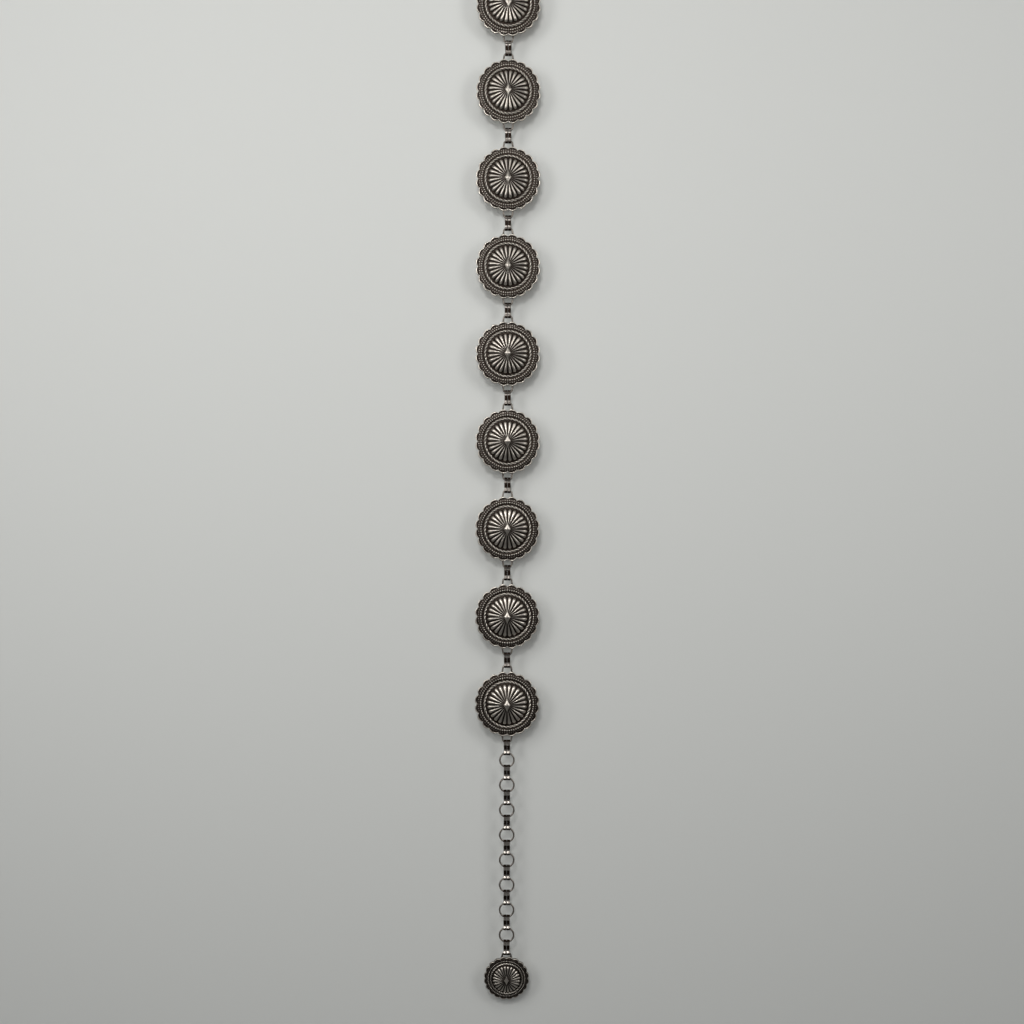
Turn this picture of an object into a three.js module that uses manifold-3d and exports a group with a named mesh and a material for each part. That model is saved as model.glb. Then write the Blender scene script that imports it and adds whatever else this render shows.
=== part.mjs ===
// A concho belt: stamped round conchos joined by folded wire links, a ring
// chain to hook the belt into, and a small concho at the chain's free end.
// It hangs from its hook. Millimetres, +Z up, faces towards -Y.
// The origin is the inside top of the hook.

import * as THREE from 'three';
import { mergeVertices } from 'three/addons/utils/BufferGeometryUtils.js';
import Module from 'manifold-3d';

const wasm = await Module();
wasm.setup();

// Driving dimensions: how many of each piece
const CONCHO_COUNT = 12;
const RING_COUNT = 8;

// Driving dimensions: conchos
const CONCHO_DIAMETER = 41.2;
const CONCHO_RISE = 5.4;
const END_CONCHO_DIAMETER = 28.8;
const END_CONCHO_RISE = 3.8;
const SHEET = 1.1;
const SCALLOP_COUNT = 20;
const SCALLOP_DEPTH = 1.5;
const END_SCALLOP_DEPTH = 1.0;
const END_TILT_DEGREES = 8;
const FLUTE_COUNT = 24;

// Driving dimensions: wire loops soldered behind the conchos
const LOOP_WIRE = 1.1;
const LOOP_WIDTH = 6.9;
const LOOP_CORNER = 1.7;
const LOOP_FLARE = 0.5;
const LOOP_STANDOFF = 3.7;
const END_LOOP_STANDOFF = 2.1;
const LOOP_FOOT = 2.0;
const SOLDER_DEPTH = 0.25;

// Driving dimensions: folded links and chain rings
const LINK_SPACING = 7.0;
const LINK_WIDTH = 3.6;
const LINK_WALL = 0.35;
const LINK_PINCH = 1.2;
const WIRE_CLEARANCE = 0.2;
const RING_DIAMETER = 10.0;
const RING_WIRE = 1.1;

// Driving dimensions: hook
const HOOK_GAP = 5.2;
const HOOK_THICKNESS = 1.5;
const HOOK_SHANK = 11.0;
const HOOK_TIP = 4.5;

// Facets
const WIRE_SIDES = 5;
const LOOP_STEPS = 8;
const RING_SEGMENTS = 14;
const EYE_SEGMENTS = 2;
const HOOK_SEGMENTS = 5;

// A concho's front from its centre outwards. Radius is a share of the radius
// to the scallop tips and height a share of the rise above the rim. In a row
// with otherRadius, every second point sits there, at otherHeight.
const FRONT_ROWS = [
  { row: 'apex of the boss', points: 1, radius: 0, height: 1 },
  { row: 'foot of the boss', points: 4, radius: 0.225, height: 0.735, otherRadius: 0.108, otherHeight: 0.78 },
  { row: 'starts of the flutes', points: FLUTE_COUNT / 2, radius: 0.24, height: 0.72 },
  { row: 'crests of the flutes', points: FLUTE_COUNT, radius: 0.42, height: 0.66, turn: 0.5 },
  {
    row: 'ends of the flutes', points: 2 * FLUTE_COUNT,
    radius: 0.575, height: 0.2, otherRadius: 0.6, otherHeight: 0.42,
  },
  { row: 'groove inside the rope', points: SCALLOP_COUNT, radius: 0.645, height: 0.16 },
  { row: 'rope ring', points: SCALLOP_COUNT, radius: 0.7, height: 0.3 },
  { row: 'groove outside the rope', points: SCALLOP_COUNT, radius: 0.75, height: 0.12 },
];

// The hollow behind, from its edge inwards, in the same shares
const BACK_ROWS = [
  { row: 'edge of the hollow', points: 16, radius: 0.66, height: 0 },
  { row: 'slope of the hollow', points: 16, radius: 0.5, height: 0.34 },
  { row: 'floor of the hollow', points: 8, radius: 0.25, height: 0.58 },
  { row: 'middle of the hollow', points: 1, radius: 0, height: 0.58 },
];

const oxidisedSilver = new THREE.MeshStandardMaterial({
  color: 0x8c847c,
  roughness: 0.34,
  metalness: 1,
});

// Derived sizes
const conchoReach = CONCHO_DIAMETER / 2 + LOOP_STANDOFF;
const endConchoReach = END_CONCHO_DIAMETER / 2 + END_LOOP_STANDOFF;
const ringRadius = (RING_DIAMETER - RING_WIRE) / 2;
const hookMiddle = (HOOK_GAP + HOOK_THICKNESS) / 2;
const chainPlane = -hookMiddle;
const plateSetback = LOOP_WIRE / 2 - SOLDER_DEPTH;

// One row of points round the middle, clockwise from the top as seen in front.
// Every second, or every third, point keeps the row's own radius and height.
function pointRow(row) {
  const { points, radius, height, otherRadius = radius, otherHeight = height, every = 2, turn = 0 } = row;
  return Array.from({ length: points }, (_, index) => {
    const angle = (2 * Math.PI * (index + turn)) / points;
    const reach = index % every ? otherRadius : radius;
    const level = index % every ? otherHeight : height;
    const place = [reach * Math.sin(angle), -level, reach * Math.cos(angle)];
    return { angle, place };
  });
}

// Triangles between two rows whose points may differ in number
function stitch(triangles, near, far) {
  const angleOf = (row, index) => row[index % row.length].angle + (index >= row.length ? 2 * Math.PI : 0);
  let i = 0;
  let j = 0;
  while (i < near.length || j < far.length) {
    const stepNear = j >= far.length || (i < near.length && angleOf(near, i + 1) <= angleOf(far, j + 1));
    const nearPoint = near[i % near.length];
    const farPoint = far[j % far.length];
    if (stepNear) {
      i += 1;
      if (near.length > 1) triangles.push(nearPoint, near[i % near.length], farPoint);
    } else {
      j += 1;
      if (far.length > 1) triangles.push(farPoint, nearPoint, far[j % far.length]);
    }
  }
}

function solidFrom(geometry) {
  const bare = geometry.index ? geometry.clone() : geometry;
  bare.deleteAttribute('normal');
  bare.deleteAttribute('uv');
  const merged = mergeVertices(bare, 1e-5);
  const mesh = new wasm.Mesh({
    numProp: 3,
    vertProperties: Float32Array.from(merged.attributes.position.array),
    triVerts: Uint32Array.from(merged.index.array),
  });
  return new wasm.Manifold(mesh);
}

function geometryFrom(solid) {
  const mesh = solid.getMesh();
  const geometry = new THREE.BufferGeometry();
  geometry.setAttribute('position', new THREE.BufferAttribute(Float32Array.from(mesh.vertProperties), 3));
  geometry.setIndex(new THREE.BufferAttribute(Uint32Array.from(mesh.triVerts), 1));
  return geometry;
}

function fuse(geometries) {
  const solids = geometries.map(solidFrom);
  return geometryFrom(solids.reduce((whole, next) => whole.add(next)));
}

// A U of round wire in the XZ plane: feet at footHeight, a little further apart
// than the legs' tops, and bar centred at reach
function loopGeometry(footHeight, reach, flare = LOOP_FLARE) {
  const half = (LOOP_WIDTH - LOOP_WIRE) / 2;
  const corner = Math.min(LOOP_CORNER, half * 0.95, reach - footHeight);
  const shoulder = reach - corner;
  const bend = half - corner;
  const foot = half + flare;
  const path = new THREE.CurvePath();
  const at = (x, z) => new THREE.Vector3(x, 0, z);
  const quarter = Math.tan(Math.PI / 8) * (4 / 3) * corner;
  path.add(new THREE.LineCurve3(at(-foot, footHeight), at(-half, shoulder)));
  path.add(new THREE.CubicBezierCurve3(
    at(-half, shoulder), at(-half, shoulder + quarter), at(-bend - quarter, reach), at(-bend, reach),
  ));
  path.add(new THREE.LineCurve3(at(-bend, reach), at(bend, reach)));
  path.add(new THREE.CubicBezierCurve3(
    at(bend, reach), at(bend + quarter, reach), at(half, shoulder + quarter), at(half, shoulder),
  ));
  path.add(new THREE.LineCurve3(at(half, shoulder), at(foot, footHeight)));
  const section = new THREE.Shape(new THREE.EllipseCurve(0, 0, LOOP_WIRE / 2, LOOP_WIRE / 2)
    .getPoints(WIRE_SIDES).slice(0, WIRE_SIDES));
  return new THREE.ExtrudeGeometry(section, { steps: LOOP_STEPS, extrudePath: path, bevelEnabled: false });
}

// Stamped and domed plate: the whole skin from the boss round to the hollow
function plateGeometry(diameter, rise, scallopDepth) {
  const tip = diameter / 2;
  const valley = tip - scallopDepth;
  const scaled = (entry, base) => pointRow({
    ...entry,
    radius: entry.radius * tip,
    otherRadius: (entry.otherRadius ?? entry.radius) * tip,
    height: base + entry.height * rise,
    otherHeight: base + (entry.otherHeight ?? entry.height) * rise,
  });
  const outline = (height) => pointRow({
    points: 3 * SCALLOP_COUNT, every: 3, radius: valley, otherRadius: tip, height,
  });
  const rows = [
    ...FRONT_ROWS.map((entry) => scaled(entry, SHEET)),
    outline(SHEET),
    outline(0),
    ...BACK_ROWS.map((entry) => scaled(entry, 0)),
  ];
  const triangles = [];
  rows.slice(1).forEach((row, index) => stitch(triangles, rows[index], row));
  const geometry = new THREE.BufferGeometry();
  const positions = triangles.flatMap((point) => point.place);
  geometry.setAttribute('position', new THREE.Float32BufferAttribute(positions, 3));
  return geometry;
}

function conchoGeometry({ diameter, rise, scallopDepth, reach, loopBelow }) {
  const foot = diameter / 2 - scallopDepth - LOOP_FOOT;
  const plate = plateGeometry(diameter, rise, scallopDepth).translate(0, -plateSetback, 0);
  const pieces = [plate, loopGeometry(foot, reach)];
  if (loopBelow) pieces.push(loopGeometry(foot, reach).rotateY(Math.PI));
  return fuse(pieces);
}

// A strip drawn in the YZ plane and carried along X, centred on the origin
function extrudeAlongX(shape, width, curveSegments) {
  const geometry = new THREE.ExtrudeGeometry(shape, { depth: width, curveSegments, bevelEnabled: false });
  const turned = new THREE.Matrix4().makeBasis(
    new THREE.Vector3(0, 1, 0), new THREE.Vector3(0, 0, 1), new THREE.Vector3(1, 0, 0),
  );
  return geometry.applyMatrix4(turned).translate(-width / 2, 0, 0);
}

// How far a bent wire falls away across half a link's width
function fallAcrossLink(radius, straight) {
  const across = Math.max(LINK_WIDTH / 2 - straight, 0);
  return radius - Math.sqrt(Math.max(radius ** 2 - across ** 2, 0));
}

// Folded link in side view: an eye round the wire at each end and a pinch
// between them. The eyes are long enough for the bend of the ring wire.
function linkGeometry() {
  const loopStraight = LOOP_WIDTH / 2 - LOOP_WIRE / 2 - LOOP_CORNER;
  const fall = Math.max(fallAcrossLink(ringRadius, 0), fallAcrossLink(LOOP_CORNER, loopStraight));
  const bore = Math.max(LOOP_WIRE, RING_WIRE) / 2 + WIRE_CLEARANCE;
  const eye = bore + LINK_WALL;
  const wire = LINK_SPACING / 2;
  const pinch = LINK_PINCH / 2;
  const outline = new THREE.Shape();
  outline.moveTo(eye, wire);
  outline.lineTo(eye, wire + fall);
  outline.absarc(0, wire + fall, eye, 0, Math.PI, false);
  outline.lineTo(-eye, wire);
  outline.lineTo(-pinch, wire - eye);
  outline.lineTo(-pinch, eye - wire);
  outline.lineTo(-eye, -wire);
  outline.lineTo(-eye, -wire - fall);
  outline.absarc(0, -wire - fall, eye, Math.PI, 2 * Math.PI, false);
  outline.lineTo(eye, -wire);
  outline.lineTo(pinch, eye - wire);
  outline.lineTo(pinch, wire - eye);
  for (const side of [1, -1]) {
    const hole = new THREE.Path();
    const near = side > 0 ? wire : -wire - fall;
    hole.absarc(0, near + fall, bore, 0, Math.PI, false);
    hole.absarc(0, near, bore, Math.PI, 2 * Math.PI, false);
    outline.holes.push(hole);
  }
  return extrudeAlongX(outline, LINK_WIDTH, EYE_SEGMENTS);
}

function ringGeometry() {
  return new THREE.TorusGeometry(ringRadius, RING_WIRE / 2, WIRE_SIDES, RING_SEGMENTS)
    .rotateX(Math.PI / 2)
    .rotateY(Math.PI / 2);
}

// Flat hook bent over backwards, with the same wire loop at its foot
function hookGeometry() {
  const inside = HOOK_GAP / 2;
  const outside = inside + HOOK_THICKNESS;
  const outline = new THREE.Shape();
  outline.moveTo(-outside, -inside - HOOK_SHANK);
  outline.lineTo(-inside, -inside - HOOK_SHANK);
  outline.lineTo(-inside, -inside);
  outline.absarc(0, -inside, inside, Math.PI, 0, true);
  outline.lineTo(inside, -inside - HOOK_TIP);
  outline.lineTo(outside, -inside - HOOK_TIP);
  outline.absarc(0, -inside, outside, 0, Math.PI, false);
  const strip = extrudeAlongX(outline, LOOP_WIDTH, HOOK_SEGMENTS);
  const loop = loopGeometry(-LOOP_FOOT, LOOP_STANDOFF, 0)
    .rotateY(Math.PI)
    .translate(0, chainPlane, -inside - HOOK_SHANK);
  return fuse([strip, loop]);
}

const belt = new THREE.Group();
const chain = new THREE.Group();
chain.position.y = chainPlane;
belt.add(chain);

function hang(group, name, geometry, height) {
  const mesh = new THREE.Mesh(geometry, oxidisedSilver);
  mesh.name = name;
  mesh.position.z = height;
  group.add(mesh);
}

const numbered = (name, index) => `${name}_${String(index + 1).padStart(2, '0')}`;

const largeConcho = conchoGeometry({
  diameter: CONCHO_DIAMETER,
  rise: CONCHO_RISE,
  scallopDepth: SCALLOP_DEPTH,
  reach: conchoReach,
  loopBelow: true,
});
const endConcho = conchoGeometry({
  diameter: END_CONCHO_DIAMETER,
  rise: END_CONCHO_RISE,
  scallopDepth: END_SCALLOP_DEPTH,
  reach: endConchoReach,
  loopBelow: false,
});
const link = linkGeometry();
const ring = ringGeometry();

hang(belt, 'hook', hookGeometry(), 0);

// The wire that the next link hangs on, moved down piece by piece
let wireHeight = -HOOK_GAP / 2 - HOOK_SHANK - LOOP_STANDOFF;

function hangLink(name) {
  hang(chain, name, link, wireHeight - LINK_SPACING / 2);
  wireHeight -= LINK_SPACING;
}

hangLink('hook_link');
for (let index = 0; index < CONCHO_COUNT; index += 1) {
  hang(chain, numbered('concho', index), largeConcho, wireHeight - conchoReach);
  wireHeight -= 2 * conchoReach;
  if (index < CONCHO_COUNT - 1) hangLink(numbered('link', index));
}
for (let index = 0; index < RING_COUNT; index += 1) {
  hangLink(numbered('chain_link', index));
  hang(chain, numbered('ring', index), ring, wireHeight - ringRadius);
  wireHeight -= 2 * ringRadius;
}
hangLink(numbered('chain_link', RING_COUNT));

// The small concho is heavier in front of its loop, so it tips back under it
endConcho.translate(0, 0, -endConchoReach).rotateX(THREE.MathUtils.degToRad(END_TILT_DEGREES));
hang(chain, 'end_concho', endConcho, wireHeight);

export default belt;
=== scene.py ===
"""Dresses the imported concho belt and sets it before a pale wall, in soft light.

The belt hangs from its hook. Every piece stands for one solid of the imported
model and lies where that solid lies. Lengths in the pieces' classes are
millimetres, and lengths on the stage are metres.
"""

import logging
import math
from collections.abc import Sequence
from dataclasses import dataclass
from enum import Enum
from typing import Any

import bmesh
import bpy
import numpy as np
from mathutils import Matrix, Vector

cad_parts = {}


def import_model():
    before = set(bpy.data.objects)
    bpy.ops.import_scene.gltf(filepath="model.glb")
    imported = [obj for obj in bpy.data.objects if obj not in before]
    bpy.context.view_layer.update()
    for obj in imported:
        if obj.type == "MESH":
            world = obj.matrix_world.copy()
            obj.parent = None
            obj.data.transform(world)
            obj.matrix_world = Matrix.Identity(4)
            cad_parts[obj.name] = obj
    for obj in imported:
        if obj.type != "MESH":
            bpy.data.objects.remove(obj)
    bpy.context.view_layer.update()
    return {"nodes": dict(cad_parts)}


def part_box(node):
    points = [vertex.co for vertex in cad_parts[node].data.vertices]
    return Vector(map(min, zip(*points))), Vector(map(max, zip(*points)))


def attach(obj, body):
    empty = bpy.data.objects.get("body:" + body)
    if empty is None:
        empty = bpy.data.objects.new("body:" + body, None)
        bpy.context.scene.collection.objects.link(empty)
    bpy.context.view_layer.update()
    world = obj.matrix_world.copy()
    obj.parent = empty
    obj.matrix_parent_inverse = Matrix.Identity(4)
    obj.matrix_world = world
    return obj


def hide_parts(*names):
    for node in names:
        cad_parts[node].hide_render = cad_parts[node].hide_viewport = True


MM = 0.001
# Points closer than this, in millimetres, become one where stamped parts meet
WELD = 0.002
# Edges that turn by more than this stay crisp
SHARP = math.radians(60)
# Corner of a square section, as a share of its width, that makes a wire round
ROUND = 0.499
# Steps round a concho. Each flute, twist and scallop takes an even share of them, so that
# the points of neighbouring parts meet and weld
STEPS_ROUND = 360
# Radius of a large concho, which the border's relief is drawn for
LARGE_RADIUS = 20.6

# Zones of a concho's stamping, as shares of its radius
FLUTE_START = 0.08
STAR_TIP = 0.235
FLUTE_END = 0.6225
ROPE_INSIDE = 0.645
ROPE_MIDDLE = 0.7
ROPE_OUTSIDE = 0.755
BEAD_ROW = 0.8125
BORDER = 0.86

log = logging.getLogger("belt")


class Slot(Enum):
    """The record's material slots."""

    CONCHO = "concho_metal"
    LINK = "link_metal"
    RING = "ring_metal"
    HOOK = "hook_metal"


# Shared helpers


def linear(hex_colour: str) -> tuple[float, float, float, float]:
    """Turns an sRGB colour into the linear one that shaders use.

    Args:
        hex_colour: The colour, such as "#c0c0c0".

    Returns:
        Linear red, green, blue and a full alpha.
    """
    parts = [int(hex_colour[i : i + 2], 16) / 255 for i in (1, 3, 5)]
    red, green, blue = (
        part / 12.92 if part <= 0.04045 else ((part + 0.055) / 1.055) ** 2.4 for part in parts
    )
    return red, green, blue, 1.0


def add_node(
    tree: bpy.types.NodeTree,
    kind: str,
    settings: dict[str, Any] | None = None,
    inputs: dict[str | int, Any] | None = None,
) -> bpy.types.Node:
    """Adds one node with its settings, values and links.

    Args:
        tree: The tree that gets the node.
        kind: Blender's name of the node's type.
        settings: Properties of the node.
        inputs: For each input socket a value, or the output that it is linked to.

    Returns:
        The new node.
    """
    node = tree.nodes.new(kind)
    for name, value in (settings or {}).items():
        setattr(node, name, value)
    for name, value in (inputs or {}).items():
        if isinstance(value, bpy.types.NodeSocket):
            tree.links.new(value, node.inputs[name])
        else:
            node.inputs[name].default_value = value
    return node


def column(*values: float) -> np.ndarray:
    """Stands numbers in a column, one for each row of a piece of skin."""
    return np.array(values)[:, None]


def curve_through(knots: list[tuple[float, float]], at: np.ndarray) -> np.ndarray:
    """Reads a smooth line that passes through points and never overshoots them.

    Args:
        knots: The points as place and value, with the places rising.
        at: The places to read.

    Returns:
        The value at each place.
    """
    x, y = np.array(knots, float).T
    step = np.diff(x)
    slope = np.diff(y) / step
    before, after = slope[:-1], slope[1:]
    same_way = before * after > 0
    inner = np.where(same_way, 2 * before * after / np.where(same_way, before + after, 1), 0)
    tangent = np.concatenate([[slope[0]], inner, [slope[-1]]])
    i = np.clip(np.searchsorted(x, at, side="right") - 1, 0, len(step) - 1)
    t = np.clip((at - x[i]) / step[i], 0, 1)
    return (
        (1 + 2 * t) * (1 - t) ** 2 * y[i]
        + t * (1 - t) ** 2 * step[i] * tangent[i]
        + t * t * (3 - 2 * t) * y[i + 1]
        - t * t * (1 - t) * step[i] * tangent[i + 1]
    )


def hill(at: np.ndarray, middle: float, spread: float) -> np.ndarray:
    """Reads a smooth hump, 1 in its middle and near 0 two spreads away."""
    return np.exp(-(((at - middle) / spread) ** 2))


def mesh_object(
    name: str,
    points: np.ndarray,
    faces: list[tuple[int, ...]],
    recess: np.ndarray,
    edges: Sequence[tuple[int, int]] = (),
) -> bpy.types.Object:
    """Makes an object at the origin from points in millimetres.

    Args:
        name: Name of the object.
        points: One row of three numbers for each point.
        faces: Point numbers of each face, anticlockwise seen from outside.
        recess: For each point 0 on a polished crest to 1 in a dark recess; on the links, rings,
            loops and the plates' edge walls it also carries painted shade.
        edges: Point numbers of loose edges, for a path.

    Returns:
        The object, linked to the scene.
    """
    mesh = bpy.data.meshes.new(name)
    mesh.from_pydata((points * MM).tolist(), list(edges), faces)
    layer = mesh.attributes.new("recess", "FLOAT", "POINT")
    layer.data.foreach_set("value", recess.astype(np.float32).ravel())
    made = bpy.data.objects.new(name, mesh)
    bpy.context.scene.collection.objects.link(made)
    return made


def skin(
    name: str,
    angle: np.ndarray,
    reach: np.ndarray,
    height: np.ndarray,
    recess: np.ndarray | float,
    pole: tuple[float, float] | None = None,
    pole_first: bool = True,
) -> bpy.types.Object:
    """Makes a piece of skin from rows of points that run round the middle of a concho.

    The four arrays may be a full grid, or one row or one column of it.

    Args:
        name: Name of the object.
        angle: Clockwise angle of each point.
        reach: Distance of each point from the middle.
        height: How far each point stands towards the front.
        recess: Polish of each point, 0 to 1.
        pole: Height and recess of a point in the middle that closes the first or last row.
        pole_first: True if the pole lies before the first row.

    Returns:
        The object, with faces that point to the front where the rows run outwards.
    """
    angle, reach, height, recess = np.broadcast_arrays(angle, reach, height, recess)
    rows, across = angle.shape
    points = np.stack([reach * np.sin(angle), -height, reach * np.cos(angle)], axis=-1)
    points = points.reshape(-1, 3)
    polish = recess.ravel()
    number = np.arange(rows * across).reshape(rows, across).tolist()
    faces = [
        (near[j], near[j + 1], far[j + 1], far[j])
        for near, far in zip(number, number[1:])
        for j in range(across - 1)
    ]
    if pole is not None:
        tip = len(points)
        row = number[0] if pole_first else number[-1]
        faces += [(tip, b, a) if pole_first else (tip, a, b) for a, b in zip(row, row[1:])]
        points = np.vstack([points, [0, -pole[0], 0]])
        polish = np.append(polish, pole[1])
    return mesh_object(name, points, faces, polish)


def plain_mesh(made: bpy.types.Object) -> bpy.types.Mesh:
    """Turns an object with its modifiers into a plain mesh.

    Args:
        made: The object, which is removed.

    Returns:
        The mesh.
    """
    bpy.context.view_layer.update()
    evaluated = made.evaluated_get(bpy.context.evaluated_depsgraph_get())
    mesh = bpy.data.meshes.new_from_object(evaluated)
    discard(made)
    return mesh


def discard(*made: bpy.types.Object) -> None:
    """Removes objects that only helped to build others."""
    for thing in made:
        bpy.data.objects.remove(thing)


def joined(
    name: str, meshes: list[bpy.types.Mesh], material: bpy.types.Material
) -> bpy.types.Mesh:
    """Puts meshes together as one.

    Args:
        name: Name of the new mesh.
        meshes: The meshes, which are removed.
        material: The finish of the whole mesh.

    Returns:
        The new mesh, shaded smooth but for its sharp edges.
    """
    body = bmesh.new()
    for mesh in meshes:
        body.from_mesh(mesh)
    whole = bpy.data.meshes.new(name)
    body.to_mesh(whole)
    body.free()
    whole.materials.append(material)
    whole.polygons.foreach_set("use_smooth", [True] * len(whole.polygons))
    whole.polygons.foreach_set("material_index", [0] * len(whole.polygons))
    whole.set_sharp_from_angle(angle=SHARP)
    for mesh in meshes:
        bpy.data.meshes.remove(mesh)
    return whole


def place(mesh: bpy.types.Mesh, node: str, at: Vector) -> None:
    """Puts a copy of a mesh where a solid lies, and makes it stand for that solid.

    The piece's object sits at the origin, with its place in its mesh.

    Args:
        mesh: The mesh, centred on the origin.
        node: The solid's node.
        at: Where the mesh's origin goes, in metres.
    """
    own = mesh.copy()
    own.transform(Matrix.Translation(at))
    piece = bpy.data.objects.new(f"{node}_piece", own)
    bpy.context.scene.collection.objects.link(piece)
    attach(piece, "root")
    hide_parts(node)
    log.info("%s: %d faces", piece.name, len(own.polygons))


# Geometry Nodes


def tree_with(
    name: str, sockets: list[tuple[str, str]]
) -> tuple[bpy.types.NodeTree, bpy.types.Node]:
    """Starts a geometry tree.

    Args:
        name: Name of the tree.
        sockets: Name and socket type of each input, after the geometry.

    Returns:
        The tree and its input node.
    """
    tree = bpy.data.node_groups.new(name, "GeometryNodeTree")
    tree.interface.new_socket("Geometry", in_out="INPUT", socket_type="NodeSocketGeometry")
    for socket, kind in sockets:
        tree.interface.new_socket(socket, in_out="INPUT", socket_type=kind)
    tree.interface.new_socket("Geometry", in_out="OUTPUT", socket_type="NodeSocketGeometry")
    return tree, add_node(tree, "NodeGroupInput")


def finish_tree(
    tree: bpy.types.NodeTree, given: bpy.types.Node, shape: bpy.types.NodeSocket
) -> None:
    """Ends a geometry tree by giving its shape the material.

    Args:
        tree: The tree.
        given: Its input node, which has a socket named Material.
        shape: The output that holds the finished shape.
    """
    dressed = add_node(tree, "GeometryNodeSetMaterial", None, {
        "Geometry": shape, "Material": given.outputs["Material"],
    })
    add_node(tree, "NodeGroupOutput", None, {"Geometry": dressed.outputs[0]})


def ring_tree() -> bpy.types.NodeTree:
    """Makes the tree that repeats a part round the Y axis and welds it to what is there.

    Returns:
        The tree.
    """
    tree, given = tree_with("Repeat round", [
        ("Part", "NodeSocketObject"), ("Count", "NodeSocketInt"), ("Turn", "NodeSocketFloat"),
        ("Weld", "NodeSocketFloat"), ("Material", "NodeSocketMaterial"),
    ])
    part = add_node(tree, "GeometryNodeObjectInfo", {"transform_space": "ORIGINAL"}, {
        "Object": given.outputs["Part"],
    })
    seats = add_node(tree, "GeometryNodePoints", None, {"Count": given.outputs["Count"]})
    pitch = add_node(tree, "ShaderNodeMath", {"operation": "DIVIDE"}, {
        0: math.tau, 1: given.outputs["Count"],
    })
    number = add_node(tree, "GeometryNodeInputIndex")
    angle = add_node(tree, "ShaderNodeMath", {"operation": "MULTIPLY_ADD"}, {
        0: number.outputs[0], 1: pitch.outputs[0], 2: given.outputs["Turn"],
    })
    turned = add_node(tree, "ShaderNodeCombineXYZ", None, {"Y": angle.outputs[0]})
    spread = add_node(tree, "GeometryNodeInstanceOnPoints", None, {
        "Points": seats.outputs[0],
        "Instance": part.outputs["Geometry"],
        "Rotation": turned.outputs[0],
    })
    real = add_node(tree, "GeometryNodeRealizeInstances", None, {"Geometry": spread.outputs[0]})
    both = add_node(tree, "GeometryNodeJoinGeometry")
    tree.links.new(given.outputs["Geometry"], both.inputs[0])
    tree.links.new(real.outputs[0], both.inputs[0])
    welded = add_node(tree, "GeometryNodeMergeByDistance", None, {
        "Geometry": both.outputs[0], "Distance": given.outputs["Weld"],
    })
    finish_tree(tree, given, welded.outputs[0])
    return tree


def wire_tree() -> bpy.types.NodeTree:
    """Makes the tree that draws a wire or strip of rounded section along a path.

    Returns:
        The tree.
    """
    tree, given = tree_with("Wire along a path", [
        ("Width", "NodeSocketFloat"), ("Thickness", "NodeSocketFloat"),
        ("Corner", "NodeSocketFloat"), ("Corner steps", "NodeSocketInt"),
        ("Width along", "NodeSocketVector"), ("Material", "NodeSocketMaterial"),
    ])
    path = add_node(tree, "GeometryNodeMeshToCurve", None, {"Mesh": given.outputs["Geometry"]})
    flat = add_node(tree, "GeometryNodeSetCurveNormal", {"mode": "FREE"}, {
        "Curve": path.outputs[0], "Normal": given.outputs["Width along"],
    })
    section = add_node(tree, "GeometryNodeCurvePrimitiveQuadrilateral", None, {
        "Width": given.outputs["Width"], "Height": given.outputs["Thickness"],
    })
    rounded = add_node(tree, "GeometryNodeFilletCurve", {"mode": "POLY"}, {
        "Curve": section.outputs[0],
        "Radius": given.outputs["Corner"],
        "Count": given.outputs["Corner steps"],
    })
    wire = add_node(tree, "GeometryNodeCurveToMesh", None, {
        "Curve": flat.outputs[0], "Profile Curve": rounded.outputs[0], "Fill Caps": True,
    })
    real = add_node(tree, "GeometryNodeRealizeInstances", None, {"Geometry": wire.outputs[0]})
    finish_tree(tree, given, real.outputs[0])
    return tree


def use_tree(made: bpy.types.Object, tree: bpy.types.NodeTree, values: dict[str, Any]) -> None:
    """Puts a tree on an object.

    Args:
        made: The object.
        tree: The tree.
        values: A value for each named input.
    """
    modifier = made.modifiers.new(tree.name, "NODES")
    modifier.node_group = tree
    for item in tree.interface.items_tree:
        if item.in_out == "INPUT" and item.name in values:
            modifier[item.identifier] = values[item.name]


@dataclass
class Trees:
    """The geometry trees that the pieces share."""

    ring: bpy.types.NodeTree
    wire: bpy.types.NodeTree


# Finishes


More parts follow.
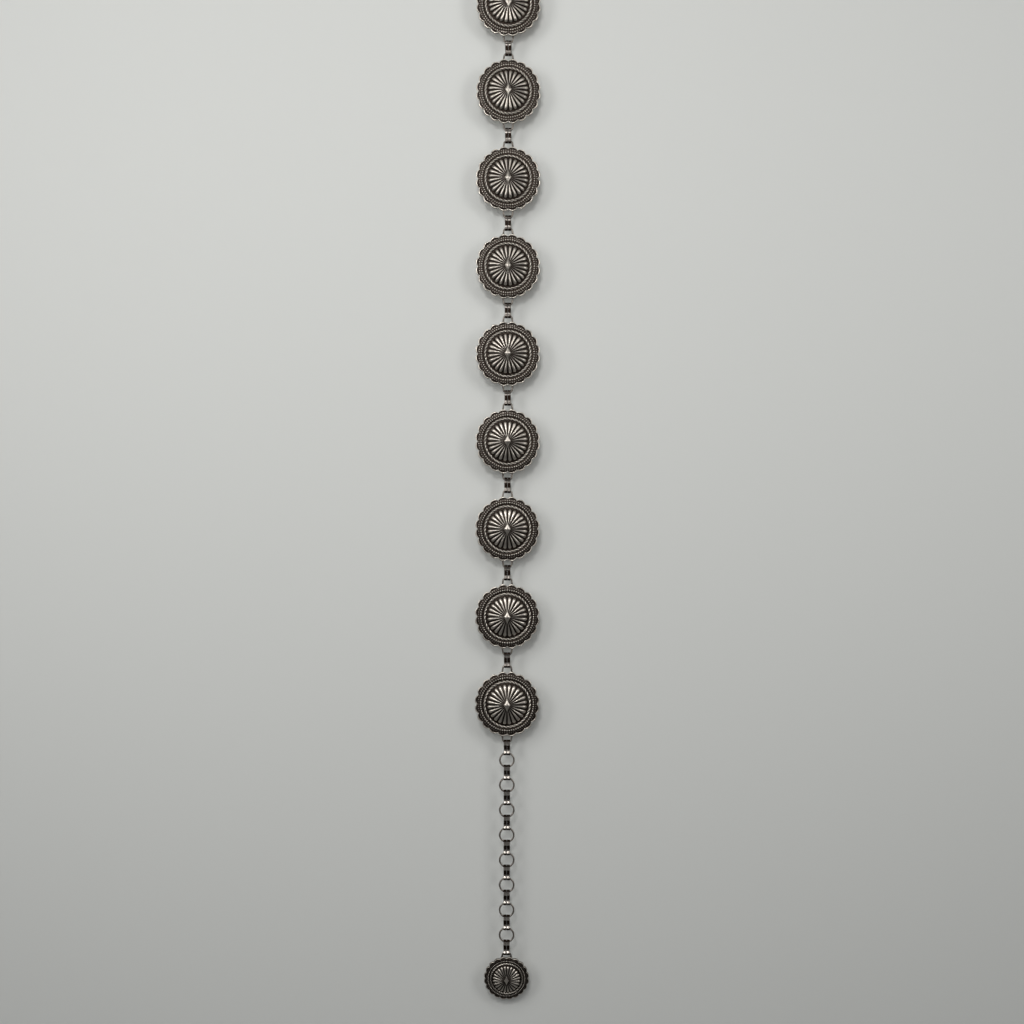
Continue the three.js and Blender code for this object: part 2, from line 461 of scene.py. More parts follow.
@dataclass(frozen=True)
class AntiquedSilver:
    """Silver plate blackened with sulphide and buffed: bright crests, dark recesses.

    The two colours are sRGB. A point is polished below the recess oxide_from, and
    black above oxide_to.
    """

    name: str
    polished: str
    oxide: str
    polished_roughness: float
    oxide_roughness: float
    oxide_from: float
    oxide_to: float

    def material(self) -> bpy.types.Material:
        """Makes the material.

        The buffing wheel leaves crests bright and the black stays in the stamped lines,
        with a ragged edge between them and faint wheel marks on the bright parts.

        Returns:
            The material.
        """
        made = bpy.data.materials.new(self.name)
        made.use_nodes = True
        tree = made.node_tree
        tree.nodes.clear()
        recess = add_node(tree, "ShaderNodeAttribute", {"attribute_name": "recess"})
        seat = add_node(tree, "ShaderNodeTexCoord")
        # Tarnish clouds about 1.4 mm across, which shift the edge of the black by up to 0.18
        cloud = add_node(tree, "ShaderNodeTexNoise", None, {
            "Vector": seat.outputs["Object"], "Scale": 700.0, "Detail": 3.0, "Roughness": 0.6,
        })
        shifted = add_node(tree, "ShaderNodeMath", {"operation": "MULTIPLY_ADD"}, {
            0: cloud.outputs["Fac"], 1: 0.36, 2: -0.18,
        })
        ragged = add_node(tree, "ShaderNodeMath", {"operation": "ADD"}, {
            0: recess.outputs["Fac"], 1: shifted.outputs[0],
        })
        black = add_node(tree, "ShaderNodeMapRange", {"interpolation_type": "SMOOTHSTEP"}, {
            "Value": ragged.outputs[0], "From Min": self.oxide_from, "From Max": self.oxide_to,
        })
        colour = add_node(tree, "ShaderNodeMix", {"data_type": "RGBA"}, {
            "Factor": black.outputs[0], "A": linear(self.polished), "B": linear(self.oxide),
        })
        gloss = add_node(tree, "ShaderNodeMapRange", None, {
            "Value": black.outputs[0],
            "To Min": self.polished_roughness,
            "To Max": self.oxide_roughness,
        })
        # Wheel marks: real ones are near 0.02 mm apart, drawn at 0.25 mm so that they show
        marks = add_node(tree, "ShaderNodeTexNoise", None, {
            "Vector": seat.outputs["Object"], "Scale": 4000.0, "Detail": 2.0,
        })
        relief = add_node(tree, "ShaderNodeBump", None, {
            "Strength": 0.35, "Distance": 0.00003, "Height": marks.outputs["Fac"],
        })
        shader = add_node(tree, "ShaderNodeBsdfPrincipled", None, {
            "Base Color": colour.outputs["Result"],
            "Metallic": 1.0,
            "Roughness": gloss.outputs[0],
            "Normal": relief.outputs[0],
        })
        add_node(tree, "ShaderNodeOutputMaterial", None, {"Surface": shader.outputs[0]})
        return made


@dataclass(frozen=True)
class WallPaint:
    """Matt emulsion paint, which scatters light evenly and shows no highlight."""

    name: str
    colour: str
    one_sided: bool

    def material(self) -> bpy.types.Material:
        """Makes the material.

        A one-sided paint is clear seen from behind, so that the belt's back can be looked at.

        Returns:
            The material.
        """
        made = bpy.data.materials.new(self.name)
        made.use_nodes = True
        tree = made.node_tree
        tree.nodes.clear()
        surface = add_node(tree, "ShaderNodeBsdfDiffuse", None, {"Color": linear(self.colour)})
        if self.one_sided:
            side = add_node(tree, "ShaderNodeNewGeometry")
            clear = add_node(tree, "ShaderNodeBsdfTransparent")
            surface = add_node(tree, "ShaderNodeMixShader", None, {
                0: side.outputs["Backfacing"], 1: surface.outputs[0], 2: clear.outputs[0],
            })
        add_node(tree, "ShaderNodeOutputMaterial", None, {"Surface": surface.outputs[0]})
        return made


# Stamped plate: warm bright relief, with soft brown-black left in every stamped line
CONCHO_FINISH = AntiquedSilver(
    "antiqued_silver_stamped", "#cec6bb", "#37302b",
    polished_roughness=0.29, oxide_roughness=0.5, oxide_from=0.3, oxide_to=0.8,
)
# Folded strip: bright metal, and the near black that the links paint on their waists and the tops
# of their eyes as painted shade
LINK_FINISH = AntiquedSilver(
    "antiqued_silver_folded_strip", "#cbc3ba", "#261e19",
    polished_roughness=0.28, oxide_roughness=0.5, oxide_from=0.28, oxide_to=0.75,
)
# Round wire: a darker copy of the plate's silver, painted darker than the plate to stand in for
# the dark room that the wire mirrors
RING_FINISH = AntiquedSilver(
    "antiqued_silver_wire", "#b0a79e", "#2a221d",
    polished_roughness=0.27, oxide_roughness=0.5, oxide_from=0.28, oxide_to=0.78,
)
# Plain strip: satin from the wheel, with hardly any black
HOOK_FINISH = AntiquedSilver(
    "satin_silver_strip", "#c4bcb2", "#3a312b",
    polished_roughness=0.36, oxide_roughness=0.52, oxide_from=0.35, oxide_to=0.85,
)
# Matt wall paint: an even off-white that takes the belt's soft shadows
WALL_FINISH = WallPaint("pale_wall_paint", "#dddeda", one_sided=True)
# Matt floor paint: a middle grey that the lower bevels of the metal mirror
FLOOR_FINISH = WallPaint("grey_floor_paint", "#757677", one_sided=False)


# The belt's pieces


@dataclass
class Wire:
    """Builds wires and strips of one section and finish along paths."""

    tree: bpy.types.NodeTree
    material: bpy.types.Material
    width: float
    thickness: float
    corner: float
    corner_steps: int = 3

    def along(
        self,
        name: str,
        path: np.ndarray,
        recess: np.ndarray,
        width_along: tuple[float, float, float],
        closed: bool,
    ) -> bpy.types.Mesh:
        """Draws the wire.

        Args:
            name: Name of the mesh.
            path: Points of its middle line.
            recess: Polish of each point, 0 to 1.
            width_along: The direction that the section's width lies in.
            closed: True if the last point is joined to the first.

        Returns:
            The wire as a plain mesh.
        """
        count = len(path)
        edges = [(i, (i + 1) % count) for i in range(count if closed else count - 1)]
        line = mesh_object(name, path, [], recess, edges)
        use_tree(line, self.tree, {
            "Width": self.width * MM,
            "Thickness": self.thickness * MM,
            "Corner": self.corner * MM,
            "Corner steps": self.corner_steps,
            "Width along": width_along,
            "Material": self.material,
        })
        return plain_mesh(line)


@dataclass
class Loop:
    """A U of round wire that is soldered behind a concho or the hook.

    Reach and foot are the heights of its bar and of its feet. The width is taken outside
    the wire, and the flare is how far each foot stands out beyond it.
    """

    reach: float
    foot: float
    wire: float = 1.1
    width: float = 6.5
    corner: float = 1.7
    flare: float = 0.8

    def path(self) -> np.ndarray:
        """Lays out the wire's middle line, up one leg and down the other.

        Returns:
            Its points, with the bar at the top.
        """
        half = (self.width - self.wire) / 2
        shoulder = self.reach - self.corner
        bend = half - self.corner
        turn = np.linspace(math.pi, 0, 17)
        x = self.corner * np.cos(turn) + np.where(turn > math.pi / 2, -bend, bend)
        arc = np.stack([x, 0 * turn, shoulder + self.corner * np.sin(turn)], axis=-1)
        fall = np.linspace(0, 1, 7)[1:]
        down = shoulder - (shoulder - self.foot) * fall
        leg = np.stack([half + self.flare * fall, 0 * fall, down], axis=-1)
        return np.vstack([(leg * (-1, 1, 1))[::-1], arc, leg])

    def mesh(
        self, name: str, tree: bpy.types.NodeTree, material: bpy.types.Material
    ) -> bpy.types.Mesh:
        """Draws the loop, painted dark all over to stand in for the dark room that it mirrors, and
        darker still towards its soldered feet.

        Args:
            name: Name of the mesh.
            tree: The tree that draws wires.
            material: The loop's finish.

        Returns:
            The loop.
        """
        path = self.path()
        depth = (self.reach - path[:, 2]) / (self.reach - self.foot)
        # Painted reflection: the whole wire is darkened, standing in for the dark room that it
        # mirrors, and more so towards its feet
        recess = 0.58 + 0.3 * depth**2
        wire = Wire(tree, material, self.wire, self.wire, self.wire * ROUND)
        return wire.along(name, path, recess, (0, 1, 0), closed=False)


@dataclass
class Concho:
    """A stamped and domed plate with its loops.

    The radius goes to the scallops' tips, and the rise is the boss's height above the
    sheet. Shares are of the radius, and heights in the tables are shares of the rise.
    """

    name: str
    radius: float
    rise: float
    scallop_depth: float
    loop: Loop
    loop_below: bool
    sheet: float = 1.1
    setback: float = 0.3
    flutes: int = 24
    twists: int = 36
    scallops: int = 20
    beads: int = 72
    # Share of the way towards black by which every point of the concho is darkened evenly
    added_darkness: float = 0.0

    def crest(self, share: np.ndarray) -> np.ndarray:
        """Height of the flutes' crests."""
        return self.sheet + self.rise * curve_through([
            (FLUTE_START, 0.85), (STAR_TIP, 0.75), (0.33, 0.7), (0.42, 0.65), (0.52, 0.56),
            (0.58, 0.47), (FLUTE_END, 0.37), (ROPE_INSIDE, 0.15),
        ], share)

    def valley(self, share: np.ndarray) -> np.ndarray:
        """Height of the floor between the flutes."""
        return self.sheet + self.rise * curve_through([
            (FLUTE_START, 0.85), (0.12, 0.8), (0.18, 0.72), (STAR_TIP, 0.66), (0.33, 0.585),
            (0.42, 0.51), (0.52, 0.37), (0.58, 0.25), (FLUTE_END, 0.165), (ROPE_INSIDE, 0.15),
        ], share)

    def centre(self) -> bpy.types.Object:
        """Makes the small cap of skin under the boss, where the flutes begin.

        Returns:
            The cap.
        """
        angle = np.linspace(0, math.tau, STEPS_ROUND + 1)[None, :]
        share = column(FLUTE_START / 2, FLUTE_START)
        top = float(self.crest(np.array(FLUTE_START)))
        return skin(f"{self.name}_centre", angle, share * self.radius, self.crest(share), 0.8,
                    pole=(top, 0.8))

    def boss(self) -> bpy.types.Object:
        """Makes the boss, a tall four-pointed star with a sharp ridge on each point.

        Its rows run from near its apex to its foot, which sinks below the flutes, and
        then back inwards, where a flat face closes it.

        Returns:
            The boss, a closed shell.
        """
        quarter = np.linspace(0, 1, 13)[:-1]
        # Points crowd towards the ridges, which keeps them sharp
        eased = quarter - 0.75 * np.sin(math.tau * quarter) / math.tau
        turn = np.concatenate([(eased + k) * math.pi / 2 for k in range(4)] + [[math.tau]])
        half_wide, half_tall, pinch = 0.12, 0.232, 0.85
        foot = (
            np.abs(np.sin(turn) / half_wide) ** pinch + np.abs(np.cos(turn) / half_tall) ** pinch
        ) ** (-1 / pinch)
        inward = column(0.16, 0.36, 0.6, 0.86, 1.0, 0.5)
        up = column(0.89, 0.73, 0.53, 0.25, -0.25, -0.3)
        recess = column(0.0, 0.0, 0.0, 0.1, 0.8, 0.9)
        apex = self.sheet + self.rise
        level = np.interp(foot, [FLUTE_START, STAR_TIP], [0.85, 0.75]) * self.rise + self.sheet
        sink = 0.012 * self.radius
        sunk = self.valley(foot) - sink * (1 - 2 * up)
        height = np.where(up >= 0, level + (apex - level) * up, sunk)
        shell = skin(f"{self.name}_boss", turn, foot * inward * self.radius, height, recess,
                     pole=(apex, 0.0))
        body = bmesh.new()
        body.from_mesh(shell.data)
        bmesh.ops.remove_doubles(body, verts=body.verts, dist=1e-6)
        bmesh.ops.holes_fill(body, edges=body.edges)
        body.to_mesh(shell.data)
        body.free()
        return shell

    def flute(self) -> bpy.types.Object:
        """Makes one flute: a rounded petal that widens outwards, with half a gap on each side.

        Returns:
            The flute, from the cap in the middle to the rope.
        """
        share = column(
            FLUTE_START, 0.11, 0.145, 0.18, 0.215, 0.25, 0.29, 0.33, 0.37, 0.41, 0.45, 0.49, 0.525,
            0.55, 0.568, 0.583, 0.595, 0.604, 0.612, 0.618, 0.6215, FLUTE_END, 0.63, 0.637,
            ROPE_INSIDE,
        )
        # Half the petal's width, as a share of half the space that it has
        wide = curve_through(
            [(FLUTE_START, 0.5), (0.2, 0.5), (0.3, 0.54), (0.45, 0.68), (0.55, 0.78)], share
        )
        # Three points lie in the gap and five on the petal's half, but for the two ends,
        # where the points are even and meet those of the neighbours
        in_gap, packed = 3, np.array([1, 0.4, 0, 0.96, 0.82, 0.6, 0.36, 0.12])
        half = np.where(
            np.arange(len(packed)) < in_gap, wide + (1 - wide) * packed, wide * packed
        )
        fitted = np.hstack([-half, half[:, ::-1]])
        even = np.linspace(-1, 1, STEPS_ROUND // self.flutes + 1)[None, :]
        fit = curve_through([(FLUTE_START, 0), (0.145, 1), (0.61, 1), (ROPE_INSIDE, 0)], share)
        across = even * (1 - fit) + fitted * fit
        round_from, round_to = 0.55, 0.6222
        end = np.clip((share - round_from) / (round_to - round_from), 0, None)
        lobe = np.sqrt(np.clip(1 - (across / wide) ** 2 - end**2, 0, 1)) ** 0.85
        crest, valley = self.crest(share), self.valley(share)
        height = valley + (np.maximum(crest, valley) - valley) * lobe
        darkness = curve_through([(FLUTE_START, 0.75), (0.2, 0.5), (0.32, 0.18), (0.42, 0.04)], share)
        recess = 1 - (1 - darkness) * lobe**1.7
        angle = across * math.pi / self.flutes
        return skin(f"{self.name}_flute", angle, share * self.radius, height, recess)

    def twist(self) -> bpy.types.Object:
        """Makes one twist of the rope ring, with the grooves inside and outside it.

        Returns:
            The twist.
        """
        share = column(
            ROPE_INSIDE, 0.655, 0.661, 0.666, 0.675, 0.687, ROPE_MIDDLE, 0.713, 0.725, 0.734,
            0.739, 0.746, ROPE_OUTSIDE,
        )
        across = np.linspace(-0.5, 0.5, STEPS_ROUND // self.twists + 1)[None, :]
        half_rope = 0.038
        side = (share - ROPE_MIDDLE) / half_rope
        dome = np.sqrt(np.clip(1 - side**2, 0, 1))
        lay = np.abs(np.cos(math.pi * (across + 0.5 * side)))
        floor = np.interp(
            share, [ROPE_INSIDE, 0.665, 0.735, ROPE_OUTSIDE], [0.15, 0.12, 0.07, 0.06]
        )
        groove = self.sheet + self.rise * floor
        height = groove + self.rise * 0.2 * dome * (0.35 + 0.65 * lay**0.8)
        recess = 1 - dome**0.2 * lay**0.9
        angle = across * math.tau / self.twists
        return skin(f"{self.name}_twist", angle, share * self.radius, height, recess)

    def scallop(self) -> bpy.types.Object:
        """Makes one scallop of the border, from the rope round its edge to the plate's back.

        The front has the band of beads, a small stamped fan, a stamped crescent and a
        raised edge.

        Returns:
            The scallop.
        """
        across = np.linspace(-1, 1, STEPS_ROUND // self.scallops + 1)[None, :]
        angle = across * math.pi / self.scallops
        half_chord = self.radius * math.sin(math.pi / self.scallops)
        arc = (half_chord**2 + self.scallop_depth**2) / (2 * self.scallop_depth)
        edge = self.radius - arc + np.sqrt(arc**2 - (half_chord * across) ** 2)
        # -1 at the rope, 0 at the border's start and 1 at the scallop's edge
        outward = column(
            -1, -0.93, -0.6, -0.3, -0.06, 0, 0.08, 0.16, 0.24, 0.32, 0.4, 0.47, 0.54, 0.61, 0.68,
            0.75, 0.81, 0.85, 0.89, 0.93, 0.97, 1.0, 1.0, 1.0, 0.985, 0.6, 0.0, -1,
        )
        row = np.arange(len(outward))[:, None]
        # The last row on the front and the last on the rim, with the back's rows after it
        last_front, last_side = 21, 23
        border = BORDER * self.radius
        inside = np.clip(outward, -1, 0)
        outside = np.clip(outward, 0, 1)
        band = self.radius * (BORDER + (BORDER - ROPE_OUTSIDE) * inside)
        reach = np.where(outward <= 0, band, border + outside * (edge - border))
        behind = (row > last_front) & (outward == -1)
        reach = np.where(behind, ROPE_MIDDLE * self.radius, reach)
        # One millimetre of the border's relief, less on the small concho
        unit = self.radius / LARGE_RADIUS
        floor = self.rise * np.interp(
            reach / self.radius, [ROPE_OUTSIDE, 0.765, BORDER], [0.06, 0.08, 0.08]
        ) - 0.35 * unit * outside
        middle = np.cos(across * math.pi / 2) ** 1.2
        fan = np.cos(math.tau * 2.0 * across)
        ridge = 0.18 * (1 + np.tanh((outward - 0.77) / 0.05)) / 2
        crescent = (0.1 + 0.3 * middle) * hill(outward, 0.58, 0.12)
        rays = 0.09 * fan * hill(outward, 0.22, 0.16)
        rounding = 0.14 * np.clip((outward - 0.82) / 0.18, 0, 1) ** 2.4
        front = self.sheet + floor + unit * (ridge - crescent + rays - rounding)
        back = np.select([row == last_front + 1, row == last_side], [0.45, 0.12], 0.0)
        height = np.where(row <= last_front, front, back)
        polished_edge = 0.7 * (1 + np.tanh((outward - 0.8) / 0.04)) / 2
        dark_crescent = 0.42 * middle * hill(outward, 0.56, 0.12)
        bright_rays = 0.26 * fan * hill(outward, 0.2, 0.13)
        border_recess = 0.74 - polished_edge + dark_crescent - bright_rays
        # Painted shade: the rows of the plate's edge wall are painted dark, standing in for the
        # dark outline that the light leaves round each concho
        recess = np.select(
            [row > last_side, row > last_front, outward <= 0], [0.4, 0.85, 0.95], border_recess
        )
        return skin(f"{self.name}_scallop", angle, reach, height, recess)

    def back(self) -> bpy.types.Object:
        """Makes the hollow behind the dome, from its edge to its middle.

        Returns:
            The hollow's skin.
        """
        share = column(ROPE_MIDDLE, 0.66, 0.63, 0.58, 0.5, 0.4, 0.3, 0.15)
        angle = np.linspace(0, math.tau, STEPS_ROUND + 1)[None, :]
        depth = 0.58
        level = self.rise * curve_through(
            [(0.15, depth), (0.25, 0.57), (0.5, 0.34), (0.66, 0.0), (ROPE_MIDDLE, 0.0)], share
        )
        return skin(f"{self.name}_back", angle, share * self.radius, level, 0.55,
                    pole=(depth * self.rise, 0.5), pole_first=False)

    def bead(self) -> bpy.types.Object:
        """Makes one bead of the milled ring, sunk a little into the band.

        Returns:
            The bead, in its place above the concho's middle.
        """
        size = 0.0322 * self.radius
        sides = 8
        turn = np.linspace(0, math.tau, sides + 1)[:-1]
        rows = [(size * math.cos(up), size * math.sin(up)) for up in np.radians([-12, 32, 66])]
        points = [
            (wide * math.cos(t), -high, wide * math.sin(t)) for wide, high in rows for t in turn
        ]
        tip = len(points)
        points.append((0, -size, 0))
        following = [(j, (j + 1) % sides) for j in range(sides)]
        faces = [
            (low + a, low + b, low + sides + b, low + sides + a)
            for low in (0, sides)
            for a, b in following
        ]
        faces += [(2 * sides + a, 2 * sides + b, tip) for a, b in following]
        faces.append(tuple(reversed(range(sides))))
        seat = self.sheet + self.rise * 0.088
        recess = np.repeat([0.95, 0.65, 0.3, 0.2], [sides, sides, sides, 1])
        seated = np.array(points) + (0, -seat, BEAD_ROW * self.radius)
        return mesh_object(f"{self.name}_bead", seated, faces, recess)

    def plate(self, tree: bpy.types.NodeTree, material: bpy.types.Material) -> bpy.types.Mesh:
        """Repeats the stamped parts round the middle and welds them to one closed plate.

        Args:
            tree: The tree that repeats a part round the middle.
            material: The plate's finish.

        Returns:
            The plate.
        """
        plate = self.centre()
        rings = [
            (self.back(), 1, 0.0),
            (self.flute(), self.flutes, math.pi / self.flutes),
            (self.twist(), self.twists, math.pi / self.twists),
            (self.scallop(), self.scallops, math.pi / self.scallops),
            (self.bead(), self.beads, 0.0),
            (self.boss(), 1, 0.0),
        ]
        for part, count, turn in rings:
            use_tree(plate, tree, {
                "Part": part,
                "Count": count,
                "Turn": turn,
                "Weld": WELD * MM,
                "Material": material,
            })
        mesh = plain_mesh(plate)
        discard(*(part for part, _, _ in rings))
        mesh.transform(Matrix.Translation((0, -self.setback * MM, 0)))
        return mesh

    def mesh(self, trees: Trees, material: bpy.types.Material) -> bpy.types.Mesh:
        """Makes the whole concho.

        Args:
            trees: The geometry trees.
            material: The concho's finish.

        Returns:
            The concho, centred on the plane of its loops.
        """
        parts = [
            self.plate(trees.ring, material),
            self.loop.mesh(f"{self.name}_loop", trees.wire, material),
        ]
        if self.loop_below:
            under = self.loop.mesh(f"{self.name}_loop_below", trees.wire, material)
            under.transform(Matrix.Rotation(math.pi, 4, "Y"))
            parts.append(under)
        whole = joined(self.name, parts, material)
        layer = whole.attributes["recess"]
        recess = np.empty(len(whole.vertices), np.float32)
        layer.data.foreach_get("value", recess)
        layer.data.foreach_set("value", self.added_darkness + (1 - self.added_darkness) * recess)
        return whole


@dataclass
class Link:
    """Two flat strips side by side, each folded round the wires at both ends.

    Spacing goes from wire to wire. Eye and pinch are half the depth of a strip at its
    eyes and at its waist, and darkness is how dark the slopes between them are
    painted, as painted shade.
    """

    darkness: float
    spacing: float = 7.0
    strip: float = 1.95
    thickness: float = 0.36
    apart: float = 1.02
    eye: float = 0.93
    pinch: float = 0.32
    fall: float = 0.37

    def path(self) -> np.ndarray:
        """Lays out one strip's middle line, up its front and down its back.

        Returns:
            Its points, all on the YZ plane.
        """
        wire = self.spacing / 2
        over = np.linspace(0, math.pi, 13)
        above = wire + self.fall + self.eye * np.sin(over)
        top = np.stack([-self.eye * np.cos(over), above], axis=-1)
        slope = np.linspace(0, 1, 7)[:-1]
        ease = slope * slope * (3 - 2 * slope)
        waist = wire - 1.25 * self.eye
        out = self.pinch + (self.eye - self.pinch) * ease
        rise = np.stack([-out, waist + (wire - waist) * slope], axis=-1)
        straight = np.array([[-self.pinch, waist * up] for up in (0.0, 0.25, 0.45, 0.65, 0.85)])
        mirrored = (-1, 1)
        upper = np.vstack(
            [straight, rise, top, (rise * mirrored)[::-1], (straight * mirrored)[:0:-1]]
        )
        side = np.vstack([upper, -upper])
        return np.stack([np.zeros(len(side)), side[:, 0], side[:, 1]], axis=-1)

    def mesh(self, trees: Trees, material: bpy.types.Material) -> bpy.types.Mesh:
        """Makes the link, painted near black at its waist and on the tops of its eyes and lighter
        on the slopes between, all as painted shade.

        Args:
            trees: The geometry trees.
            material: The link's finish.

        Returns:
            The link, centred on the origin.
        """
        path = self.path()
        # Painted shade: the pinched waist and the eyes' tops are painted near black and the slopes
        # between less dark, standing in for the shade of the folded shape
        recess = np.interp(
            np.abs(path[:, 2]),
            [0, 1.1, 1.7, 3.3, 3.9, 4.9],
            [1.0, 0.95, self.darkness, self.darkness, 0.75, 0.95],
        )
        corner = 0.42 * self.thickness
        strip = Wire(trees.wire, material, self.strip, self.thickness, corner, corner_steps=2)
        halves = []
        for side in (-1, 1):
            half = strip.along("link_strip", path, recess, (1, 0, 0), closed=True)
            half.transform(Matrix.Translation((side * self.apart * MM, 0, 0)))
            halves.append(half)
        return joined("link", halves, material)


@dataclass
class Ring:
    """A round wire ring that the hook closes on."""

    diameter: float = 10.0
    wire: float = 1.1

    def mesh(self, trees: Trees, material: bpy.types.Material) -> bpy.types.Mesh:
        """Makes the ring, painted dark all over to stand in for the dark room that it mirrors, and
        darkest at its top and bottom, where the links hang on it.

        Args:
            trees: The geometry trees.
            material: The ring's finish.

        Returns:
            The ring, centred on the origin.
        """
        turn = np.linspace(0, math.tau, 65)[:-1]
        middle = (self.diameter - self.wire) / 2
        path = np.stack([middle * np.sin(turn), 0 * turn, middle * np.cos(turn)], axis=-1)
        # Painted reflection: the wire is darkened all over, standing in for the dark room that it
        # mirrors, and most at its top and bottom where the links hang
        recess = 0.46 + 0.4 * np.cos(turn) ** 8
        wire = Wire(trees.wire, material, self.wire, self.wire, self.wire * ROUND)
        drawn = wire.along("ring_wire", path, recess, (0, 1, 0), closed=True)
        return joined("ring", [drawn], material)


@dataclass
class Hook:
    """A flat strip bent over backwards, with a wire loop at its foot."""

    loop: Loop
    gap: float = 5.2
    thickness: float = 1.5
    width: float = 6.9
    shank: float = 11.0
    tip: float = 4.5
    chain_plane: float = -3.35

    def mesh(self, trees: Trees, material: bpy.types.Material) -> bpy.types.Mesh:
        """Makes the hook.

        Args:
            trees: The geometry trees.
            material: The hook's finish.

        Returns:
            The hook, with its inside top on the origin.
        """
        middle = (self.gap + self.thickness) / 2
        inside = self.gap / 2
        bend = np.linspace(0, math.pi, 25)
        over = np.stack([-middle * np.cos(bend), -inside + middle * np.sin(bend)], axis=-1)
        foot = -inside - self.shank
        side = np.vstack([[[-middle, foot]], over, [[middle, -inside - self.tip]]])
        path = np.stack([np.zeros(len(side)), side[:, 0], side[:, 1]], axis=-1)
        recess = np.interp(path[:, 1], [-middle, 0, middle], [0.15, 0.2, 0.45])
        strip = Wire(
            trees.wire, material, self.width, self.thickness, corner=0.5, corner_steps=4
        )
        loop = self.loop.mesh("hook_loop", trees.wire, material)
        loop.transform(Matrix.Rotation(math.pi, 4, "Y"))
        loop.transform(Matrix.Translation((0, self.chain_plane * MM, foot * MM)))
        bent = strip.along("hook_strip", path, recess, (1, 0, 0), closed=False)
        return joined("hook", [bent, loop], material)


@dataclass
class Belt:
    """All the pieces of the belt, each in the place of its solid.

    The small concho hangs tipped by end_tilt degrees, since its weight lies in front of
    its loop.
    """

    nodes: list[str]
    end_tilt: float = 8.0

    @staticmethod
    def middle(node: str) -> Vector:
        """Finds the middle of a solid's box."""
        low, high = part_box(node)
        return (low + high) / 2

    def kinds(self) -> dict[str, tuple[bpy.types.Mesh, Slot]]:
        """Makes one mesh for each kind of piece.

        Returns:
            The mesh and the slot of each kind, by how its nodes' names begin. A name that
            begins with another one comes before it.
        """
        trees = Trees(ring_tree(), wire_tree())
        silver, folded = CONCHO_FINISH.material(), LINK_FINISH.material()
        large = Concho(
            "concho", radius=LARGE_RADIUS, rise=5.4, scallop_depth=1.5,
            loop=Loop(reach=24.3, foot=17.1), loop_below=True,
        )
        small = Concho(
            "small_concho", radius=14.4, rise=3.8, scallop_depth=1.0,
            loop=Loop(reach=16.5, foot=11.4), loop_below=False, added_darkness=0.12,
        )
        hanging = small.mesh(trees, silver)
        tip = Matrix.Rotation(math.radians(self.end_tilt), 4, "X")
        hanging.transform(tip @ Matrix.Translation((0, 0, -small.loop.reach * MM)))
        # Painted shade: the links between the conchos are painted darker than those of the chain,
        # though they are the same strip
        link = Link(darkness=0.5).mesh(trees, folded)
        hook = Hook(Loop(reach=3.7, foot=-2.0, width=6.9, flare=0.0))
        return {
            "concho_": (large.mesh(trees, silver), Slot.CONCHO),
            "end_concho": (hanging, Slot.CONCHO),
            "ring_": (Ring().mesh(trees, RING_FINISH.material()), Slot.RING),
            "hook_link": (link, Slot.LINK),
            "link_": (link, Slot.LINK),
            "chain_link_": (Link(darkness=0.15).mesh(trees, folded), Slot.LINK),
            "hook": (hook.mesh(trees, HOOK_FINISH.material()), Slot.HOOK),
        }

    def build(self) -> None:
        """Puts a copy of each kind's mesh where the solids of that kind lie."""
        kinds = self.kinds()
        chain_plane = self.middle("ring_01").y
        for node in self.nodes:
            kind = next(name for name in kinds if node.startswith(name))
            mesh, slot = kinds[kind]
            seat = self.middle(node)
            if kind == "hook":
                seat = Vector((0, 0, 0))
            elif kind == "end_concho":
                seat.z = self.middle("chain_link_09").z - Link.spacing / 2 * MM
            if kind != "hook":
                seat.y = chain_plane
            place(mesh, node, seat)


# The stage


@dataclass(frozen=True)
class Light:
    """A white rectangular light, with its place and size in metres and its power in watts."""

    name: str
    at: tuple[float, float, float]
    width: float
    height: float
    power: float

    def build(self, target: Vector) -> None:
        """Adds the light.

        Args:
            target: The point that it faces.
        """
        lamp = bpy.data.lights.new(self.name, "AREA")
        lamp.shape, lamp.size, lamp.size_y = "RECTANGLE", self.width, self.height
        lamp.energy = self.power
        made = bpy.data.objects.new(self.name, lamp)
        turn = (target - Vector(self.at)).to_track_quat("-Z", "Y").to_matrix().to_4x4()
        made.matrix_world = Matrix.Translation(self.at) @ turn
        bpy.context.scene.collection.objects.link(made)


LIGHTS = (
    Light("lamp_by_camera", (-0.13, -0.75, -0.42), width=0.32, height=0.32, power=0.75),
    Light("lamp_above_camera", (-0.1, -0.78, -0.13), width=0.17, height=0.13, power=1.7),
    Light("ceiling_panel", (-0.1, -0.65, 0.36), width=0.7, height=0.3, power=1.55),
    Light("softbox_left", (-0.64, -0.64, -0.25), width=0.32, height=0.62, power=2.15),
    Light("softbox_right", (0.64, -0.64, -0.25), width=0.32, height=0.62, power=1.95),
)


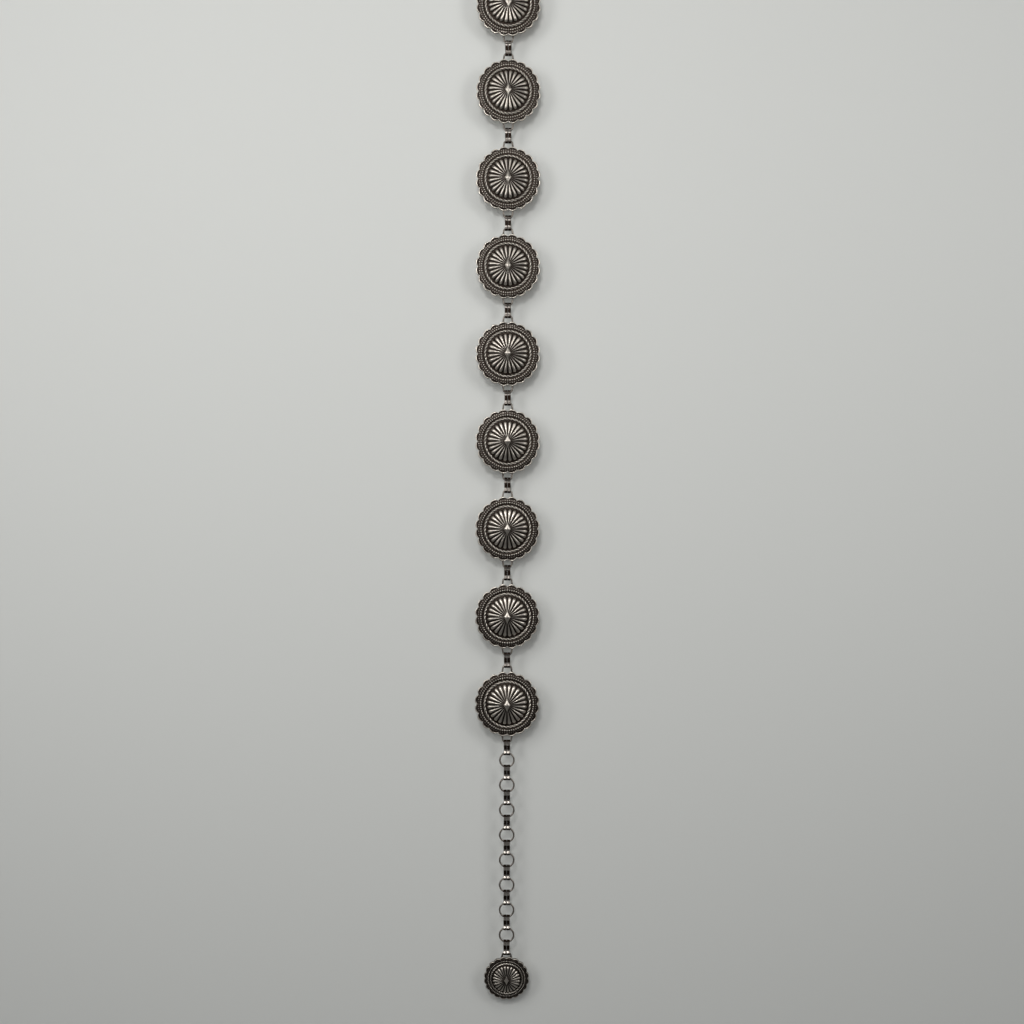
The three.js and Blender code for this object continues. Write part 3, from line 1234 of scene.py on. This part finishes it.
@dataclass
class Studio:
    """A pale wall close behind the belt, a grey floor, soft lights and the camera.

    Lengths are metres, apart from the lens in millimetres. The middle of the picture is
    given as X and Z, and the camera's roll in degrees.
    """

    wall_setback: float = 0.0055
    wall_top: float = 1.2
    floor_height: float = -0.95
    half_width: float = 2.0
    floor_front: float = -3.0
    floor_back: float = 2.0
    photo_middle: tuple[float, float] = (0.0029, -0.5382)
    distance: float = 0.805
    lens: float = 44.3
    roll: float = 0.12

    @staticmethod
    def sheet(name: str, corners: list[tuple[float, float, float]], paint: WallPaint) -> None:
        """Makes a flat stage piece.

        Args:
            name: Name of the piece.
            corners: Its four corners.
            paint: Its finish.
        """
        mesh = bpy.data.meshes.new(name)
        mesh.from_pydata(corners, [], [(0, 1, 2, 3)])
        mesh.materials.append(paint.material())
        made = bpy.data.objects.new(name, mesh)
        bpy.context.scene.collection.objects.link(made)

    @staticmethod
    def surroundings() -> bpy.types.World:
        """Makes the dim, even grey room that the metal also mirrors.

        Returns:
            The world.
        """
        world = bpy.data.worlds.new("room")
        world.use_nodes = True
        tree = world.node_tree
        tree.nodes.clear()
        glow = add_node(tree, "ShaderNodeBackground", None, {
            "Color": linear("#8a8b8d"), "Strength": 0.37,
        })
        add_node(tree, "ShaderNodeOutputWorld", None, {"Surface": glow.outputs[0]})
        return world

    def camera(self) -> bpy.types.Object:
        """Makes the camera, level with the middle of the picture.

        Returns:
            The camera, linked to the scene.
        """
        lens = bpy.data.cameras.new("camera")
        lens.lens, lens.sensor_width = self.lens, 36.0
        lens.clip_start, lens.clip_end = 0.05, 20.0
        made = bpy.data.objects.new("camera", lens)
        x, z = self.photo_middle
        upright = Matrix.Rotation(math.radians(90), 4, "X")
        turn = upright @ Matrix.Rotation(math.radians(self.roll), 4, "Z")
        made.matrix_world = Matrix.Translation((x, -self.distance, z)) @ turn
        bpy.context.scene.collection.objects.link(made)
        return made

    def build(self) -> None:
        """Sets up the wall, the floor, the lights, the surroundings and the camera."""
        side, wall = self.half_width, self.wall_setback
        floor, top = self.floor_height, self.wall_top
        near, far = self.floor_front, self.floor_back
        self.sheet("wall", [
            (-side, wall, floor), (side, wall, floor), (side, wall, top), (-side, wall, top),
        ], WALL_FINISH)
        self.sheet("floor", [
            (-side, near, floor), (side, near, floor), (side, far, floor), (-side, far, floor),
        ], FLOOR_FINISH)
        for light in LIGHTS:
            light.build(Vector((0, 0, self.photo_middle[1])))
        scene = bpy.context.scene
        scene.world = self.surroundings()
        scene.view_settings.view_transform = "Standard"
        scene.camera = self.camera()


def main() -> None:
    logging.basicConfig(level=logging.INFO, format="%(message)s")
    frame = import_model()
    Studio().build()
    Belt(sorted(frame["nodes"])).build()


if __name__ == "__main__":
    main()
